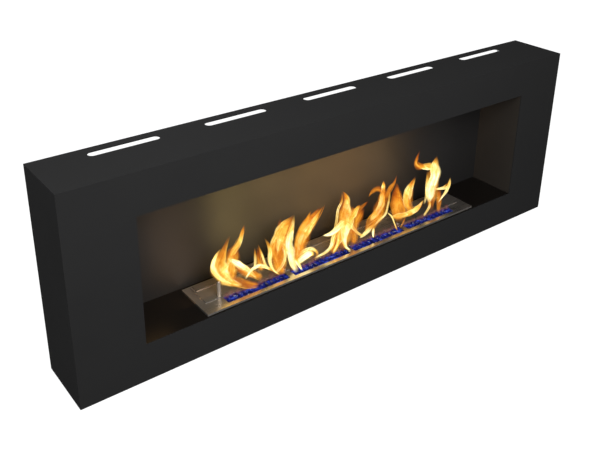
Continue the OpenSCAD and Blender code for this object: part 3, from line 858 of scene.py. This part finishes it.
def make_fasteners():
    fitting("panel_screws_cross", "back_panel_screws", "casing", ZINC, panel_screw)
    fitting("threaded_studs", "weld_studs", "casing", ZINC, stud)
    fitting("hexagon_nuts", "stud_nuts", "casing", ZINC, nut(Vector((0, 1, 0))))
    fitting("blind_rivets", "liner_rivets", "casing", ZINC, blind_rivet)
    fitting("flush_rivets", "hanger_rivets", "casing", ZINC, hanger_rivet)
    fitting("shoulder_screw_left", "guide_screw_left", "burner", STEEL_POST, guide_screw)
    fitting("shoulder_screw_right", "guide_screw_right", "burner", STEEL_POST, guide_screw)
    fitting("guide_hexagon_nuts", "guide_nuts", "burner", STEEL_PLAIN,
            nut(Vector((0, 0, 1))))


def make_weld():
    """A rippled bead where the tank's walls meet the underside of the plate."""
    radius, ripple, step = 0.8 * MM, 1.5 * MM, 0.5 * MM
    z = PLATE_TOP - SHEET - radius
    low, high = TANK_LOW - Vector((1, 1, 0)) * 0.3 * MM, TANK_HIGH + Vector((1, 1, 0)) * 0.3 * MM
    stops = [Vector((low.x, low.y, z)), Vector((high.x, low.y, z)), Vector((high.x, high.y, z)),
             Vector((low.x, high.y, z))]
    shape = bmesh.new()
    rings, walked, sides = [], 0.0, 8
    for a, b in zip(stops, stops[1:] + stops[:1]):
        along = (b - a).normalized()
        out = along.cross(Vector((0, 0, 1)))
        count = round((b - a).length / step)
        for i in range(2, count - 1):
            walked += step
            swell = 1 + 0.16 * math.sin(math.tau * walked / ripple)
            swell += 0.1 * noise.noise(Vector((walked * 300, 0, 0)))
            middle = a + along * step * i
            turns = [math.tau * k / sides for k in range(sides)]
            rings.append([shape.verts.new(middle + (out * math.cos(t) + Vector((0, 0, 1)) * math.sin(t))
                                          * radius * min(swell, 1.2)) for t in turns])
    for one, two in zip(rings, rings[1:] + rings[:1]):
        join_rings(shape, one, two)
    bmesh.ops.recalc_face_normals(shape, faces=shape.faces)
    add_piece("tank_weld", shape, "burner", STEEL_PLAIN)


# ---------------------------------------------------------------- stage, light and camera
def make_stage():
    shape = bmesh.new()
    bmesh.ops.create_circle(shape, cap_ends=True, segments=96, radius=40)
    mesh = bpy.data.meshes.new("stage_floor")
    shape.to_mesh(mesh)
    shape.free()
    mesh.materials.append(stage_floor("stage_floor"))
    floor = bpy.data.objects.new("stage_floor", mesh)
    floor.location.z = -0.5 * MM
    SCENE.collection.objects.link(floor)


def make_world():
    """White at and below the horizon, softer grey overhead."""
    world = bpy.data.worlds.new("studio")
    SCENE.world = world
    world.use_nodes = True
    tree = world.node_tree
    tree.nodes.clear()
    spot = tree.nodes.new("ShaderNodeTexCoord")
    split = tree.nodes.new("ShaderNodeSeparateXYZ")
    ramp = tree.nodes.new("ShaderNodeValToRGB")
    back = tree.nodes.new("ShaderNodeBackground")
    out = tree.nodes.new("ShaderNodeOutputWorld")
    tree.links.new(spot.outputs["Generated"], split.inputs[0])
    tree.links.new(split.outputs["Z"], ramp.inputs["Fac"])
    ramp.color_ramp.elements[0].position, ramp.color_ramp.elements[0].color = 0.13, (1, 1, 1, 1)
    ramp.color_ramp.elements[1].position, ramp.color_ramp.elements[1].color = 0.30, (0.32, 0.32, 0.33, 1)
    tree.links.new(ramp.outputs["Color"], back.inputs["Color"])
    tree.links.new(back.outputs["Background"], out.inputs["Surface"])


def area_light(name, place, target, size, power, colour=(1, 1, 1)):
    data = bpy.data.lights.new(name, "AREA")
    data.shape = "RECTANGLE"
    data.size, data.size_y = size
    data.energy = power
    data.color = colour
    lamp = bpy.data.objects.new(name, data)
    lamp.location = place
    lamp.rotation_euler = (Vector(target) - Vector(place)).to_track_quat("-Z", "Y").to_euler()
    lamp.visible_camera = False
    SCENE.collection.objects.link(lamp)


# lamps behind the flames: along X, height, power and colour of each
FIRE_LIGHTS = ((-0.33, 0.15, 0.26, (1.0, 0.60, 0.30)), (-0.20, 0.18, 0.74, (0.97, 0.68, 0.23)),
               (-0.10, 0.20, 0.62, (1.0, 0.64, 0.24)), (0.01, 0.18, 0.76, (1.0, 0.58, 0.20)),
               (0.11, 0.20, 0.64, (1.0, 0.56, 0.20)), (0.20, 0.20, 0.36, (1.0, 0.60, 0.24)))


FIRE_LAMP_SIZE = (0.09, 0.16)


def make_lights():
    middle = (cad_box[0] + cad_box[1]) / 2
    area_light("key", (-0.42, -1.45, 1.35), middle, (0.75, 1.1), 120)
    area_light("fill", (-1.75, -0.25, 1.15), middle, (0.8, 0.8), 30)
    area_light("back", (0.5, 2.4, 2.2), middle, (1.6, 1.2), 150)
    for x, z, power, colour in FIRE_LIGHTS:
        place = Vector((x, PORT_BACK + 4 * MM, z))
        area_light("fire", place, place + Vector((0, 1, 0.15)), FIRE_LAMP_SIZE, power, colour)
    area_light("fire_low", (-0.43, 0.0, 0.15), (-0.435, 0.0, 0.08), (0.05, 0.08), 0.03, (1, 0.58, 0.22))


CAMERA_PLACE = (-0.9416, -1.0997, 0.9415)
CAMERA_TURN = (-37.818, 23.055, 0.908)      # azimuth, elevation and roll in degrees
CAMERA_LENS, CAMERA_SENSOR = 46.81, 36
CAMERA_SHIFT = -0.15


def make_camera():
    azimuth, elevation, roll = map(math.radians, CAMERA_TURN)
    back = Vector((math.sin(azimuth) * math.cos(elevation), -math.cos(azimuth) * math.cos(elevation),
                   math.sin(elevation)))
    right = (-back).cross(Vector((0, 0, 1))).normalized()
    up = right.cross(-back)
    rolled_right = right * math.cos(roll) + up * math.sin(roll)
    rolled_up = up * math.cos(roll) - right * math.sin(roll)
    data = bpy.data.cameras.new("camera")
    data.lens, data.sensor_width, data.shift_y = CAMERA_LENS, CAMERA_SENSOR, CAMERA_SHIFT
    camera = bpy.data.objects.new("camera", data)
    turn = Matrix((rolled_right, rolled_up, back)).transposed().to_4x4()
    camera.matrix_world = Matrix.Translation(CAMERA_PLACE) @ turn
    SCENE.collection.objects.link(camera)
    SCENE.camera = camera


SCENE.view_settings.view_transform = "Standard"
make_camera()
make_stage()
make_world()
make_lights()
dress_cad()
make_flames()
make_port_glow()
for index in range(1, 5):
    make_wool(index)
make_fasteners()
make_weld()
